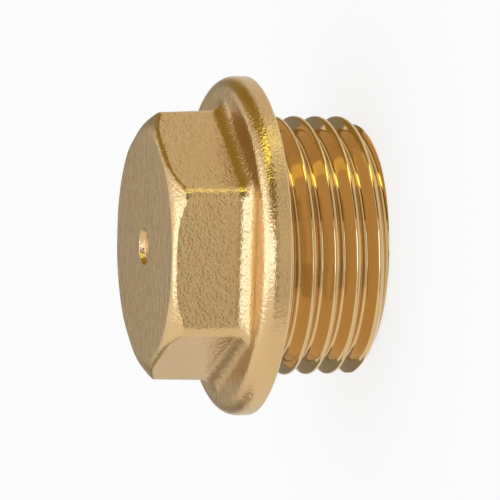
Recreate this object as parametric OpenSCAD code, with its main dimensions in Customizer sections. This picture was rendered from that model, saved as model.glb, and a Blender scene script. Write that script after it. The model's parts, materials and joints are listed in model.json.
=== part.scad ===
// Flanged blanking plug, hot forged in brass in one piece, with a parallel pipe thread.
// Millimetres. The axis is Z, the hexagon head is up, and Z = 0 is the flange's sealing face.

/* [Thread] */
// Outside diameter of the thread, over its crests
thread_d = 20.955; // [9:0.001:60]
// Distance from one crest to the next
thread_pitch = 1.814; // [0.9:0.001:2.4]
// Length of the threaded end, from the sealing face to the tip
thread_length = 9.15; // [6:0.05:20]
// Angle of each flank from a plane square to the axis
flank_angle = 27.5; // [25:0.5:30]
// Depth of the thread as a share of its pitch
depth_share = 0.6403; // [0.5:0.0001:0.7]
// Rounding of crest and root as a share of the pitch
round_share = 0.1373; // [0.05:0.0001:0.16]
// Height of the 45 degree chamfer that leads the thread in
lead_in = 0.8; // [0.2:0.1:2]
// How far below the sealing face the middle of the groove ends
runout_gap = 0.62; // [0.3:0.01:2]
// Angle over which the groove fades out below the flange
runout_turn = 150; // [60:5:360]
// Direction in which the groove ends, turned from the X axis
thread_start = 143; // [0:1:360]

/* [Flange] */
// Diameter of the flange
flange_d = 27.3; // [14:0.1:80]
// Thickness of the flange
flange_t = 2.2; // [1:0.1:6]
// Rounding of the rim on the head side
rim_round = 1.2; // [0.2:0.1:2]
// Small chamfer of the rim on the sealing side
seat_chamfer = 0.15; // [0:0.05:0.5]

/* [Head] */
// Size across the flats of the hexagon, at the end face
head_af = 19; // [8:0.1:60]
// Height of the hexagon above the flange
head_h = 6.25; // [3:0.05:20]
// Draft of each flat, which lets the forging leave its die
head_draft = 1.5; // [0:0.1:5]
// Rounding of the six upright corners
corner_round = 1.3; // [0.3:0.1:4]
// Diameter at which the corner chamfer starts on the end face
chamfer_d = 19.1; // [6:0.1:60]
// Slope of the corner chamfer from the end face
chamfer_slope = 38; // [10:1:60]
// Width over which the corner chamfer melts into flats and corners
crease = 0.2; // [0.05:0.05:0.5]
// Rounding where the flats and the chamfer meet the end face
face_round = 0.45; // [0.1:0.05:2]
// Hollow rounding where the hexagon stands on the flange
cove = 1.2; // [0.3:0.1:3]
// Width of the round punch mark in the middle of the end face
mark_d = 2.9; // [1:0.1:6]
// Depth of the punch mark
mark_depth = 0.45; // [0.1:0.05:1]
// How much the punch mark narrows from its edge to its floor, and the bevel round that floor
mark_taper = 0.12; // [0:0.01:0.3]

/* [Hollow] */
// Diameter of the forged hollow at its mouth, in the threaded end
hollow_d = 14; // [4:0.1:40]
// Depth of the hollow, from the tip
hollow_depth = 11; // [3:0.5:30]
// Draft of the hollow's wall
hollow_draft = 2; // [0:0.5:8]
// Rounding between the hollow's wall and its floor
hollow_round = 1.6; // [0.3:0.1:4]
// Chamfer at the hollow's mouth
mouth_chamfer = 0.4; // [0:0.1:1]

/* [Hidden] */
thread_r = thread_d / 2;
thread_depth = depth_share * thread_pitch;
crest_r = round_share * thread_pitch;
half_pitch = thread_pitch / 2;
steps_per_turn = 48;
crest_land = 0.01;
shoulder_angle = 30;
lift_margin = 0.2;
flange_r = flange_d / 2;
head_top = flange_t + head_h;
cove_top = flange_t + cove;
hollow_r = hollow_d / 2;
hollow_floor = hollow_depth - thread_length;
sink = 0.5;
over = 1;
flat_points = 8;
corner_points = 6;
cove_steps = 5;
chamfer_steps = 6;
edge_steps = 4;
$fn = 96;

// Blank of the threaded end before the thread is cut: a cylinder with its lead-in chamfer.
module shank_blank() {
    rotate_extrude()
        polygon([
            [0, -thread_length],
            [thread_r - lead_in, -thread_length],
            [thread_r, -thread_length + lead_in],
            [thread_r, sink],
            [0, sink]
        ]);
}

// One side of the groove from the crest down to the root, as [distance from the groove's
// middle, radius]. The flank is straight, and the crest and the root are rounded. The first
// point lies just outside the blank, so that a narrow land of the blank is left on each crest.
function groove_side() = let (
    tangent = 90 - flank_angle,
    crest_mid = [half_pitch, thread_r - crest_r],
    root_mid = [0, thread_r - thread_depth + crest_r],
    shoulder = crest_mid + crest_r * [-sin(shoulder_angle), cos(shoulder_angle)],
    reach = half_pitch - crest_land - shoulder[0]
) [
    shoulder + reach * [1, tan(shoulder_angle)],
    shoulder,
    crest_mid + crest_r * [-sin(tangent), cos(tangent)],
    root_mid + crest_r * [sin(tangent), -cos(tangent)],
    root_mid + crest_r * [sin(tangent / 3), -cos(tangent / 3)]
];

// Closed outline of the groove, from its upper edge through the root to its lower edge.
function groove_outline() = let (side = groove_side(), last = len(side) - 1) [
    for (p = side) p,
    for (i = [last : -1 : 0]) [-side[i][0], side[i][1]]
];

// Smooth step from 0 to 1
function ease(t) = let (u = min(max(t, 0), 1)) u * u * (3 - 2 * u);

// The helical groove, swept one step at a time. It starts past the tip, climbs to the right
// like a screw, and lifts out of the blank over its last stretch to make the run-out.
module thread_groove() {
    outline = groove_outline();
    n = len(outline);
    low = -thread_length - thread_pitch;
    turns = (-runout_gap - low) / thread_pitch;
    count = ceil(turns * steps_per_turn);
    points = [
        for (i = [0 : count])
            let (
                back = (count - i) * 360 / steps_per_turn,
                a = thread_start - back,
                z = -runout_gap - thread_pitch * back / 360,
                lift = (thread_depth + lift_margin) * ease(1 - back / runout_turn)
            )
            for (p = outline)
                [(p[1] + lift) * cos(a), (p[1] + lift) * sin(a), z + p[0]]
    ];
    sides = [
        for (i = [0 : count - 1])
            for (j = [0 : n - 1])
                let (k = (j + 1) % n, here = i * n, next = here + n)
                each [
                    [here + j, here + k, next + k],
                    [here + j, next + k, next + j]
                ]
    ];
    first = [for (j = [n - 1 : -1 : 0]) j];
    final = [for (j = [0 : n - 1]) count * n + j];
    polyhedron(points, concat(sides, [first, final]), convexity = 10);
}

// Threaded end: the blank with the helical groove cut into it.
module threaded_end() {
    difference() {
        shank_blank();
        thread_groove();
    }
}

// Round flange with a rounded rim towards the head and a flat sealing face below.
module flange() {
    rotate_extrude() {
        difference() {
            polygon([
                [0, 0],
                [flange_r - seat_chamfer, 0],
                [flange_r, seat_chamfer],
                [flange_r, flange_t],
                [0, flange_t]
            ]);
            difference() {
                translate([flange_r - rim_round, flange_t - rim_round])
                    square([rim_round + over, rim_round + over]);
                translate([flange_r - rim_round, flange_t - rim_round])
                    circle(r = rim_round);
            }
        }
    }
}

// Radius, in direction a, of a hexagon of half width h whose corners are rounded by r.
function hex_radius(a, h, r) = let (
    off = abs((a + 30) % 60 - 30),
    corner = (h - r) / cos(30),
    side = corner * sin(30 - off)
) h * tan(off) <= (h - r) * tan(30)
    ? h / cos(off)
    : corner * cos(30 - off) + sqrt(r * r - side * side);

// The smaller of two radii, with the crease between them softened over a width k.
function soft_min(a, b, k) = let (u = max(k - abs(a - b), 0) / k) min(a, b) - u * u * k / 4;

// Directions of a section's points: along each flat, then round each corner.
function section_angles() = let (
    flat = atan((head_af / 2 - corner_round) * tan(30) / (head_af / 2))
) [
    for (side = [0 : 5])
        each [
            for (i = [0 : flat_points - 1])
                60 * side - flat + 2 * flat * i / (flat_points - 1),
            for (i = [1 : corner_points - 1])
                60 * side + flat + (60 - 2 * flat) * i / corner_points
        ]
];

// Height, outward growth and chamfer inset of each section, from inside the flange up the
// cove, up the drafted flats, across the corner chamfer and over the rounded face edge.
function section_levels() = let (
    corner_drop = (head_af / 2 / cos(30) - chamfer_d / 2) * tan(chamfer_slope),
    chamfer_low = head_top - face_round - corner_drop
) [
    [flange_t - sink, cove, 0],
    for (i = [0 : cove_steps])
        let (t = 90 * i / cove_steps)
        [flange_t + cove * (1 - cos(t)), cove * (1 - sin(t)), 0],
    for (i = [0 : chamfer_steps - 1])
        [chamfer_low + corner_drop * i / chamfer_steps, 0, 0],
    for (i = [0 : edge_steps])
        let (t = 90 * i / edge_steps)
        [head_top - face_round * (1 - sin(t)), 0, face_round * (1 - cos(t))]
];

// One section of the head at a level, cut back by the cone of the corner chamfer.
function head_section(level) = let (
    z = level[0],
    below = head_top - z,
    half = head_af / 2 + below * tan(head_draft) + level[1] - level[2],
    cone = chamfer_d / 2 + below / tan(chamfer_slope) - level[2]
) [
    for (a = section_angles())
        let (r = soft_min(hex_radius(a, half, corner_round + level[1] - level[2]), cone, crease))
        [r * cos(a), r * sin(a), z]
];

// Hexagon head, lofted through its sections, with flats across the Y axis.
module head() {
    levels = section_levels();
    sections = [for (level = levels) head_section(level)];
    n = len(sections[0]);
    top = len(levels) - 1;
    sides = [
        for (i = [0 : top - 1])
            for (j = [0 : n - 1])
                let (k = (j + 1) % n, here = i * n, next = here + n)
                each [
                    [here + j, next + k, here + k],
                    [here + j, next + j, next + k]
                ]
    ];
    bottom = [for (j = [0 : n - 1]) j];
    face = [for (j = [n - 1 : -1 : 0]) top * n + j];
    rotate([0, 0, 90])
        polyhedron([for (s = sections) each s], concat(sides, [bottom, face]), convexity = 4);
}

// Round punch mark in the end face, with a steep wall and a flat floor.
module punch_mark() {
    translate([0, 0, head_top])
        rotate_extrude()
            polygon([
                [0, -mark_depth],
                [mark_d / 2 - 2 * mark_taper, -mark_depth],
                [mark_d / 2 - mark_taper, -mark_depth + mark_taper],
                [mark_d / 2, 0],
                [mark_d / 2, over],
                [0, over]
            ]);
}

// Forged hollow in the threaded end, with a drafted wall and a rounded floor.
module hollow() {
    floor_r = hollow_r - hollow_depth * tan(hollow_draft);
    rotate_extrude() {
        intersection() {
            polygon([
                [0, -thread_length - over],
                [hollow_r + mouth_chamfer + over, -thread_length - over],
                [hollow_r - mouth_chamfer * tan(hollow_draft), -thread_length + mouth_chamfer],
                [floor_r, hollow_floor],
                [0, hollow_floor]
            ]);
            union() {
                translate([0, -thread_length - over])
                    square([hollow_r + 2 * over, hollow_depth + over - hollow_round]);
                translate([0, hollow_floor - 2 * hollow_round])
                    square([floor_r - hollow_round, 2 * hollow_round]);
                translate([floor_r - hollow_round, hollow_floor - hollow_round])
                    circle(r = hollow_round);
            }
        }
    }
}

// The whole plug, one piece of brass.
module plug() {
    color([0.78, 0.62, 0.32])
        difference() {
            union() {
                flange();
                head();
                threaded_end();
            }
            hollow();
            punch_mark();
        }
}

plug();
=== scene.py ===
# Flanged blanking plug, hot forged in brass with a turned thread, in a plain white studio.
# The plug's axis is Z with its head up. Its own sizes are in millimetres, the scene is in metres.
import bmesh
import bpy
import json
import math
import numpy as np
from mathutils import Matrix, Vector


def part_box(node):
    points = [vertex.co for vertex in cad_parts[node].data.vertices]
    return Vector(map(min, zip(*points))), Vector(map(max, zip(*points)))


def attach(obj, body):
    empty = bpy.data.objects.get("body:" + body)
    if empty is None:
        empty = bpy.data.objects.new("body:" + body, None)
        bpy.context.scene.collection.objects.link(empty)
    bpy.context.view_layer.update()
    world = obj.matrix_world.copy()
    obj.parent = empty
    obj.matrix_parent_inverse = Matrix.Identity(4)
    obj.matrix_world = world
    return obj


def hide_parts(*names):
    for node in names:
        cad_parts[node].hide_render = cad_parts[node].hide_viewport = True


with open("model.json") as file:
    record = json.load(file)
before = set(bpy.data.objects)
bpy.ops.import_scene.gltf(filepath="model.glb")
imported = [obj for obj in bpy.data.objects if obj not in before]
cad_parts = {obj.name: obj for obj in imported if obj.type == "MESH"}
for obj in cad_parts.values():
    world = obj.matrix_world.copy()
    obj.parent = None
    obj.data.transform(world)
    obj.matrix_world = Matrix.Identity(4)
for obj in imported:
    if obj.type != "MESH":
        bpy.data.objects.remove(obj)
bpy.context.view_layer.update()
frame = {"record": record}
lowCorner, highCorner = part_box("plug")
maleThread = next(mount for mount in frame["record"]["mounts"] if mount["name"] == "male_thread")
mm = 0.001
print("frame loaded")

# The plug, in millimetres and degrees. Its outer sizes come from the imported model.
plug = {
    "top": highCorner.z / mm,
    "acrossFlats": 19.0,        # at the end face
    "headDraft": 1.5,
    "cornerRound": 1.3,
    "chamferDiameter": 19.1,    # of the corner chamfer, on the end face
    "chamferSlope": 38.0,       # from the end face
    "crease": 0.2,              # width over which the chamfer melts into the flats
    "faceRound": 0.45,
    "cove": 1.2,                # hollow rounding between hexagon and flange
    "markDiameter": 2.9,
    "markDepth": 0.45,
    "markFloorRound": 0.12,
    "markEdgeRound": 0.1,
    "flangeDiameter": 2 * highCorner.x / mm,
    "flangeThickness": 2.2,
    "rimRound": 1.2,
    "seatChamfer": 0.15,
    "threadDiameter": 2 * maleThread["dims"]["r_mm"],
    "threadLength": -lowCorner.z / mm,
    "pitch": 1.814,
    "threadDepth": 1.1615,
    "threadRound": 0.249,       # of crests and roots
    "flankAngle": 27.5,
    "leadIn": 0.8,
    "runoutGap": 0.62,          # how far below the flange the groove ends
    "runoutTurn": 150.0,        # over which it fades out
    "threadStart": 143.0,       # direction in which it ends
    "hollowDiameter": 14.0,     # at the mouth
    "hollowDepth": 11.0,
    "hollowDraft": 2.0,
    "hollowRound": 1.6,
    "mouthChamfer": 0.4,
    "columns": 360,             # of the mesh, round the axis
    "gather": 0.6,              # how strongly they crowd at the hexagon's corners
    "arcRows": 4,               # rows on half a crest or root
    "flankRows": 4,
    "sharpAngle": 30.0,         # edges that turn by more are shaded as sharp
}


# Directions of the mesh's columns: even steps t drawn towards the corners, which lie at 0, 60,
# 120 degrees and so on, by angle = t - gather / 6 * sin(6 t).
def columnAngles(plug):
    t = np.arange(plug["columns"]) * 2 * math.pi / plug["columns"]
    return t - plug["gather"] / 6 * np.sin(6 * t)


# Radius of a hexagon of half width h with corners rounded by r. off is the angle from the middle
# of a flat: h / cos(off) there, and round a corner the far crossing of the corner's circle.
def hexRadius(angle, h, r):
    off = np.abs(angle % (math.pi / 3) - math.pi / 6)
    corner = (h - r) / math.cos(math.pi / 6)
    side = corner * np.sin(math.pi / 6 - off)
    onCorner = corner * np.cos(math.pi / 6 - off) + np.sqrt(np.maximum(r * r - side * side, 0))
    onFlat = h * np.tan(off) <= (h - r) * math.tan(math.pi / 6)
    return np.where(onFlat, h / np.cos(off), onCorner)


# The smaller of a and b less u * u * k / 4, where u goes from 1 to 0 as they draw k apart.
def softMin(a, b, k):
    u = np.maximum(k - np.abs(a - b), 0) / k
    return np.minimum(a, b) - u * u * k / 4


# Ring of the head at height z: the drafted hexagon, grown or inset, cut by the chamfer's cone.
def headRing(plug, angle, z, grown=0.0, inset=0.0):
    below = plug["top"] - z
    half = plug["acrossFlats"] / 2 + below * math.tan(math.radians(plug["headDraft"])) + grown - inset
    cone = plug["chamferDiameter"] / 2 + below / math.tan(math.radians(plug["chamferSlope"])) - inset
    hexagon = hexRadius(angle, half, plug["cornerRound"] + grown - inset)
    return softMin(hexagon, cone, plug["crease"])


# Rings (radius, height) of an arc: centre + size * (cos a, sin a), a in degrees.
def arcRings(radius, height, size, start, end, count):
    a = np.radians(np.linspace(start, end, count))
    return list(zip(radius + size * np.cos(a), height + size * np.sin(a)))


# Values from a to b whose first and last steps are short, so that a flat stays flat to its edge.
def heldSteps(a, b, count, edge=0.06):
    inner = np.linspace(a, b, count)[1:-1]
    step = math.copysign(edge, b - a)
    return np.r_[a, a + step, inner, b - step, b]


# The punch mark from its middle: flat floor, rounded corner, steep wall and rounded edge.
def markRings(plug):
    top, floor = plug["top"], plug["top"] - plug["markDepth"]
    low, high = plug["markFloorRound"], plug["markEdgeRound"]
    wall = plug["markDiameter"] / 2
    rings = [(r, floor) for r in heldSteps(0.0, wall - 2 * low, 3)]
    rings += arcRings(wall - 2 * low, floor + low, low, -90, -10, 6)
    rings += arcRings(wall + high, top - high, high, 170, 90, 6)
    return rings


# The head from the mark outwards: end face, rounded edge, corner chamfer, flats and cove.
def headRings(plug, angle):
    top, edge, cove = plug["top"], plug["faceRound"], plug["cove"]
    inner = plug["markDiameter"] / 2 + plug["markEdgeRound"]
    rim = headRing(plug, angle, top, 0.0, edge)
    share = np.r_[0.01, 0.1, 0.3, 0.55, 0.8, 0.95, 0.99]
    rings = [(inner + (rim - inner) * s, top) for s in share]
    for t in np.linspace(math.pi / 2, 0, 9):
        z = top - edge * (1 - math.sin(t))
        rings.append((headRing(plug, angle, z, 0.0, edge * (1 - math.cos(t))), z))
    farCorner = plug["acrossFlats"] / 2 / math.cos(math.pi / 6)
    drop = (farCorner - plug["chamferDiameter"] / 2) * math.tan(math.radians(plug["chamferSlope"]))
    chamferLow, coveTop = top - edge - drop, plug["flangeThickness"] + cove
    rings += [(headRing(plug, angle, z), z) for z in np.linspace(top - edge, chamferLow, 16)[1:]]
    rings += [(headRing(plug, angle, z), z) for z in heldSteps(chamferLow, coveTop, 5)[1:]]
    for t in np.linspace(math.pi / 2, 0, 13)[1:]:
        z = plug["flangeThickness"] + cove * (1 - math.cos(t))
        rings.append((headRing(plug, angle, z, cove * (1 - math.sin(t))), z))
    return rings


# The flange from the cove outwards: front face, rounded rim, rim and seat chamfer.
def flangeRings(plug, angle):
    front, rounding = plug["flangeThickness"], plug["rimRound"]
    inner = headRing(plug, angle, front, plug["cove"])
    outer = plug["flangeDiameter"] / 2
    share = heldSteps(0.0, 1.0, 4, 0.03)[1:-1]
    rings = [(inner + (outer - rounding - inner) * s, front) for s in share]
    rings += arcRings(outer - rounding, front - rounding, rounding, 90, 0, 14)
    rings += [(outer, z) for z in heldSteps(front - rounding, plug["seatChamfer"], 3)[1:]]
    return rings


# The sealing face from the rim in to the thread.
def seatRings(plug):
    outer, inner = plug["flangeDiameter"] / 2, plug["threadDiameter"] / 2
    rings = [(outer, plug["seatChamfer"])]
    rings += [(r, 0.0) for r in heldSteps(outer - plug["seatChamfer"], inner, 3)]
    return rings


# Radius of the threaded end. u is the distance from the middle of the nearest groove: a root
# arc, a straight flank, a crest arc. Over its last stretch the groove lifts out of the blank by
# (3 s^2 - 2 s^3), and the lead-in cone cuts the tip.
def threadRadius(plug, angle, z):
    pitch, radius, depth = plug["pitch"], plug["threadDiameter"] / 2, plug["threadDepth"]
    arc, flank = plug["threadRound"], math.radians(plug["flankAngle"])
    end = -plug["runoutGap"]
    climb = end + (angle / (2 * math.pi) - plug["threadStart"] / 360) * pitch
    turn = np.minimum(np.round((z - climb) / pitch), np.floor((end - climb) / pitch + 1e-9))
    middle = climb + turn * pitch
    u = np.minimum(np.abs(z - middle), pitch / 2)
    root = radius - depth + arc - np.sqrt(np.maximum(arc * arc - u * u, 0))
    crest = radius - arc + np.sqrt(np.maximum(arc * arc - (pitch / 2 - u) ** 2, 0))
    reach = arc * math.cos(flank)
    straight = radius - depth + arc * (1 - math.sin(flank)) + (u - reach) / math.tan(flank)
    groove = np.where(u < reach, root, np.where(u > pitch / 2 - reach, crest, straight))
    s = np.clip(1 - (end - middle) / pitch * 360 / plug["runoutTurn"], 0, 1)
    lifted = groove + (depth + 0.2) * s * s * (3 - 2 * s)
    cone = radius - plug["leadIn"] + z + plug["threadLength"]
    return np.minimum(np.minimum(lifted, radius), cone)


# The flat tip, the mouth's chamfer, the hollow's drafted wall, its rounded floor and the middle.
def hollowRings(plug, angle):
    tip, draft = -plug["threadLength"], math.tan(math.radians(plug["hollowDraft"]))
    mouth, chamfer = plug["hollowDiameter"] / 2, plug["mouthChamfer"]
    floor, rounding = tip + plug["hollowDepth"], plug["hollowRound"]
    outer = threadRadius(plug, angle, np.full_like(angle, tip))
    rings = [(outer + (mouth + chamfer - outer) * s, tip) for s in (0.0, 0.05, 0.95, 1.0)]
    for z in heldSteps(tip + chamfer, floor - rounding, 5):
        rings.append((mouth - (z - tip) * draft, z))
    wall = mouth - (floor - rounding - tip) * draft
    rings += arcRings(wall - rounding, floor - rounding, rounding, 0, 90, 12)[1:]
    rings += [(r, floor) for r in heldSteps(wall - rounding, 0.0, 3)[1:-2]]
    rings.append((0.0, floor))
    return rings


# Sheet of points and faces from rings: column i joins column i + 1, ring j joins ring j + 1.
def ringSheet(angle, rings):
    n = len(angle)
    r = np.array([np.broadcast_to(ring[0], n) for ring in rings])
    z = np.array([np.full(n, ring[1]) for ring in rings])
    points = np.stack([r * np.cos(angle), r * np.sin(angle), z], -1).reshape(-1, 3)
    i = np.arange(n)
    j = np.arange(len(rings) - 1)[:, None] * n
    k = (i + 1) % n
    faces = np.stack([j + i, j + n + i, j + n + k, j + k], -1).reshape(-1, 4)
    return points, faces


# Sheet of the thread, whose rows wind with it: row j of a column stands at
# rowHeight[j] + pitch * angle / 360, held between tip and flange, so a row follows one crest.
# Past the last column a row goes on as the row one turn higher.
def threadSheet(plug, angle):
    pitch, length = plug["pitch"], plug["threadLength"]
    arc = plug["threadRound"] * np.sin(np.radians(
        np.linspace(0, 90 - plug["flankAngle"], plug["arcRows"] + 1)))
    flank = np.linspace(arc[-1], pitch / 2 - arc[-1], plug["flankRows"] + 1)[1:-1]
    side = np.r_[arc, flank, pitch / 2 - arc[::-1]]
    oneTurn = np.r_[-side[:0:-1], side[:-1]]
    first = -plug["runoutGap"] - plug["threadStart"] / 360 * pitch
    turns = math.ceil((length + pitch + first) / pitch) + 1
    starts = first + np.arange(-turns, 3) * pitch
    rowHeight = (starts[:, None] + oneTurn).reshape(-1)
    z = np.clip(rowHeight[:, None] + pitch * angle / (2 * math.pi), -length, 0.0)
    r = threadRadius(plug, np.broadcast_to(angle, z.shape), z)
    points = np.stack([r * np.cos(angle), r * np.sin(angle), z], -1).reshape(-1, 3)
    n, rows, perTurn = len(angle), len(rowHeight), len(oneTurn)
    i = np.arange(n - 1)
    j = np.arange(rows - 1)[:, None] * n
    faces = np.stack([j + i, j + i + 1, j + n + i + 1, j + n + i], -1).reshape(-1, 4)
    j = np.arange(rows - 1 - perTurn)
    seam = np.stack([j * n + n - 1, (j + perTurn) * n, (j + perTurn + 1) * n, (j + 1) * n + n - 1], -1)
    faces = np.vstack([faces, seam])
    heights = points[faces][:, :, 2]
    outside = (heights <= -length).all(1) | (heights >= 0.0).all(1)
    return points, faces[~outside]


# One closed mesh of all the sheets. The first material is the forging's skin, the second the
# turned brass of the sealing face, the thread and the hollow.
def makePlug(plug):
    angle = columnAngles(plug)
    forged = markRings(plug) + headRings(plug, angle) + flangeRings(plug, angle)
    sheets = [
        (ringSheet(angle, forged), 0),
        (ringSheet(angle, seatRings(plug)), 1),
        (threadSheet(plug, angle), 1),
        (ringSheet(angle, hollowRings(plug, angle)), 1),
    ]
    counts = [len(sheet[0]) for sheet, _ in sheets]
    starts = np.r_[0, np.cumsum(counts)[:-1]]
    points = np.vstack([sheet[0] for sheet, _ in sheets]) * mm
    faces = np.vstack([sheet[1] + start for (sheet, _), start in zip(sheets, starts)])
    finish = np.concatenate([np.full(len(sheet[1]), index) for sheet, index in sheets])
    mesh = bpy.data.meshes.new("plugBody")
    mesh.from_pydata(points.tolist(), [], faces.tolist())
    mesh.polygons.foreach_set("material_index", finish.astype(np.int32))
    mesh.polygons.foreach_set("use_smooth", np.ones(len(faces), bool))
    work = bmesh.new()
    work.from_mesh(mesh)
    bmesh.ops.remove_doubles(work, verts=work.verts, dist=1e-7)
    bmesh.ops.dissolve_degenerate(work, edges=work.edges, dist=1e-7)
    work.to_mesh(mesh)
    work.free()
    mesh.set_sharp_from_angle(angle=math.radians(plug["sharpAngle"]))
    body = bpy.data.objects.new("plugBody", mesh)
    bpy.context.scene.collection.objects.link(body)
    return body


plugBody = makePlug(plug)
print("plug:", len(plugBody.data.vertices), "points,", len(plugBody.data.polygons), "faces")

# Brass as it leaves the die and the shot blast: fine dimples that glint, and a slow unevenness.
forgedBrass = {
    "colour": (0.67, 0.455, 0.21),
    "roughness": 0.26,
    "dimples": 4300.0,          # to a metre
    "dimpleDepth": 0.05,        # millimetres
    "wavesPerMetre": 900.0,     # softer hollows under the dimples
    "waveDepth": 0.04,
}

# Brass under the thread tool: nearly a mirror.
turnedBrass = {
    "colour": (0.67, 0.455, 0.21),
    "roughness": 0.09,
}


# Bump of height depth * pattern, in millimetres, on top of the normals that come in.
def addBump(tree, pattern, depth, under=None):
    bump = tree.nodes.new("ShaderNodeBump")
    bump.inputs["Strength"].default_value = 1.0
    bump.inputs["Distance"].default_value = depth * mm
    tree.links.new(pattern, bump.inputs["Height"])
    if under:
        tree.links.new(under, bump.inputs["Normal"])
    return bump.outputs["Normal"]


def addNoise(tree, place, scale, detail):
    noise = tree.nodes.new("ShaderNodeTexNoise")
    noise.inputs["Scale"].default_value = scale
    noise.inputs["Detail"].default_value = detail
    tree.links.new(place, noise.inputs["Vector"])
    return noise.outputs["Fac"]


def brassMaterial(name, values):
    material = bpy.data.materials.new(name)
    material.use_nodes = True
    shader = material.node_tree.nodes["Principled BSDF"]
    shader.inputs["Metallic"].default_value = 1.0
    shader.inputs["Base Color"].default_value = (*values["colour"], 1)
    shader.inputs["Roughness"].default_value = values["roughness"]
    place = material.node_tree.nodes.new("ShaderNodeTexCoord").outputs["Object"]
    return material, shader, place


def forgedMaterial(values):
    material, shader, place = brassMaterial("forgedBrass", values)
    tree = material.node_tree
    waves = addBump(tree, addNoise(tree, place, values["wavesPerMetre"], 1.0), values["waveDepth"])
    fine = addNoise(tree, place, values["dimples"], 1.0)
    dimples = addBump(tree, fine, values["dimpleDepth"], waves)
    tree.links.new(dimples, shader.inputs["Normal"])
    return material


def turnedMaterial(values):
    material, shader, place = brassMaterial("turnedBrass", values)
    return material


plugBody.data.materials.append(forgedMaterial(forgedBrass))
plugBody.data.materials.append(turnedMaterial(turnedBrass))
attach(plugBody, "root")
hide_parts("plug")
print("materials done")

# The camera looks square to the axis but from a little on the head's side, and it is turned so
# that the head points left.
cameraSet = {
    "distance": 270.57,         # millimetres
    "elevation": 15.697,        # degrees above the flange's plane
    "azimuth": -81.7,
    "roll": -0.49,
    "shift": (0.372, -0.355),   # millimetres to the right and up
    "lens": 241.56,
}


# Axes of the camera from its angles: v points from the plug to the camera, r to the right of
# the picture, which is down the plug's axis, and u up. The roll turns r and u about v.
def makeCamera(values):
    e, a, roll = (math.radians(values[key]) for key in ("elevation", "azimuth", "roll"))
    v = Vector((math.cos(e) * math.cos(a), math.cos(e) * math.sin(a), math.sin(e)))
    r = Vector((math.sin(e) * math.cos(a), math.sin(e) * math.sin(a), -math.cos(e)))
    u = v.cross(r)
    right = r * math.cos(roll) + u * math.sin(roll)
    up = u * math.cos(roll) - r * math.sin(roll)
    place = (right * values["shift"][0] + up * values["shift"][1] + v * values["distance"]) * mm
    data = bpy.data.cameras.new("camera")
    data.lens = values["lens"]
    data.sensor_width = 36.0
    data.clip_start = 0.01
    camera = bpy.data.objects.new("camera", data)
    bpy.context.scene.collection.objects.link(camera)
    turn = Matrix((right, up, v)).transposed().to_4x4()
    camera.matrix_world = Matrix.Translation(place) @ turn
    bpy.context.scene.camera = camera
    return camera


camera = makeCamera(cameraSet)
print("camera placed")

# The room is plain white. Its light isn't sampled directly, so that the screens can hold it back.
world = bpy.data.worlds.new("studio")
world.use_nodes = True
world.node_tree.nodes["Background"].inputs["Color"].default_value = (1, 1, 1, 1)
world.node_tree.nodes["Background"].inputs["Strength"].default_value = 1.0
world.cycles.sampling_method = "NONE"
bpy.context.scene.world = world
bpy.context.scene.view_settings.view_transform = "Standard"

# The pale floor under the tip. Seen by the camera or in a reflection it is mostly plain white.
floorSet = {
    "halfWidth": 3.0,           # metres
    "colour": (0.85, 0.85, 0.85),
    "white": 0.8,               # share of plain white, the rest shows the plug's shadow
}


def makeFloor(values):
    w, z = values["halfWidth"], lowCorner.z
    mesh = bpy.data.meshes.new("floor")
    mesh.from_pydata([(-w, -w, z), (w, -w, z), (w, w, z), (-w, w, z)], [], [(0, 1, 2, 3)])
    material = bpy.data.materials.new("floorPaper")
    material.use_nodes = True
    tree = material.node_tree
    tree.nodes.clear()
    path = tree.nodes.new("ShaderNodeLightPath")
    seen = path.outputs["Is Camera Ray"]
    for ray in ("Is Glossy Ray", "Is Transmission Ray"):
        add = tree.nodes.new("ShaderNodeMath")
        add.operation = "MAXIMUM"
        tree.links.new(seen, add.inputs[0])
        tree.links.new(path.outputs[ray], add.inputs[1])
        seen = add.outputs[0]
    share = tree.nodes.new("ShaderNodeMath")
    share.operation = "MULTIPLY"
    share.inputs[1].default_value = values["white"]
    paper = tree.nodes.new("ShaderNodeBsdfDiffuse")
    paper.inputs["Color"].default_value = (*values["colour"], 1)
    white = tree.nodes.new("ShaderNodeEmission")
    mix = tree.nodes.new("ShaderNodeMixShader")
    out = tree.nodes.new("ShaderNodeOutputMaterial")
    tree.links.new(seen, share.inputs[0])
    tree.links.new(share.outputs[0], mix.inputs["Fac"])
    tree.links.new(paper.outputs[0], mix.inputs[1])
    tree.links.new(white.outputs[0], mix.inputs[2])
    tree.links.new(mix.outputs[0], out.inputs["Surface"])
    mesh.materials.append(material)
    floor = bpy.data.objects.new("floor", mesh)
    bpy.context.scene.collection.objects.link(floor)
    return floor


floor = makeFloor(floorSet)


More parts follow.
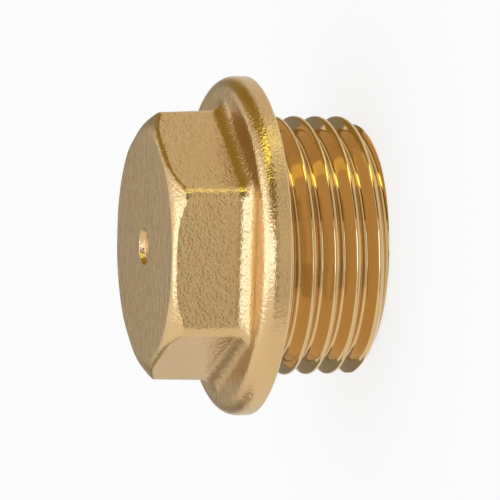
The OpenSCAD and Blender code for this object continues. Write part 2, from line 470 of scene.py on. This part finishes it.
# A screen is a profile of (radius, height above the floor), in millimetres, carried round the
# plug from one angle to another: x = radius * cos(angle), y = radius * sin(angle). Angles count
# from the camera, anticlockwise from above. Only the brass sees it, as a reflection.
def makeScreen(name, values):
    angle = np.radians(cameraSet["azimuth"] + np.linspace(*values["turn"], 25))
    r, h = np.array(values["profile"], float).T[:, :, None]
    x, y = r * np.cos(angle) * mm, r * np.sin(angle) * mm
    z = np.broadcast_to(h * mm + lowCorner.z, x.shape)
    points = np.stack([x, y, z], -1).reshape(-1, 3)
    i = np.arange(len(angle) - 1)
    j = np.arange(len(r) - 1)[:, None] * len(angle)
    faces = np.stack([j + i, j + i + 1, j + i + 1 + len(angle), j + i + len(angle)], -1).reshape(-1, 4)
    mesh = bpy.data.meshes.new(name)
    mesh.from_pydata(points.tolist(), [], faces.tolist())
    material = bpy.data.materials.new(name)
    material.use_nodes = True
    tree = material.node_tree
    tree.nodes.clear()
    glow = tree.nodes.new("ShaderNodeEmission")
    glow.inputs["Color"].default_value = (*values["light"], 1)
    out = tree.nodes.new("ShaderNodeOutputMaterial")
    tree.links.new(glow.outputs[0], out.inputs["Surface"])
    mesh.materials.append(material)
    screen = bpy.data.objects.new(name, mesh)
    bpy.context.scene.collection.objects.link(screen)
    screen.visible_camera = screen.visible_diffuse = screen.visible_shadow = False
    return screen


screens = {
    "overhead": {"turn": (-180, 180), "profile": [(138, 312), (0.01, 325)], "light": (1.9, 2.2, 2.8)},
    "coolPanel": {"turn": (-28, 12), "profile": [(250, 126), (250, 260), (138, 312)],
                  "light": (2.0, 2.4, 3.4)},
    "warmStrip": {"turn": (58, 72), "profile": [(15, 0), (250, 0), (250, 260)], "light": (2.6, 2.8, 1.0)},
    "blackCard": {"turn": (-42, -14), "profile": [(15, 0), (250, 0), (250, 44)], "light": (0.04, 0.04, 0.03)},
    "nearFoot": {"turn": (-14, 40), "profile": [(18, 0), (40, 0)], "light": (0.03, 0.03, 0.02)},
    "nearCard": {"turn": (-14, 22), "profile": [(40, 0), (250, 0), (250, 126)], "light": (0.50, 0.46, 0.30)},
    "brownCard": {"turn": (22, 58), "profile": [(40, 0), (250, 0), (250, 260)], "light": (0.20, 0.15, 0.04)},
    "goldCard": {"turn": (72, 150), "profile": [(15, 0), (250, 0), (250, 260)], "light": (0.34, 0.25, 0.06)},
    "backCard": {"turn": (150, 240), "profile": [(22, 0), (250, 0), (250, 126)], "light": (0.30, 0.28, 0.24)},
}
for name, values in screens.items():
    makeScreen(name, values)
print("studio done")
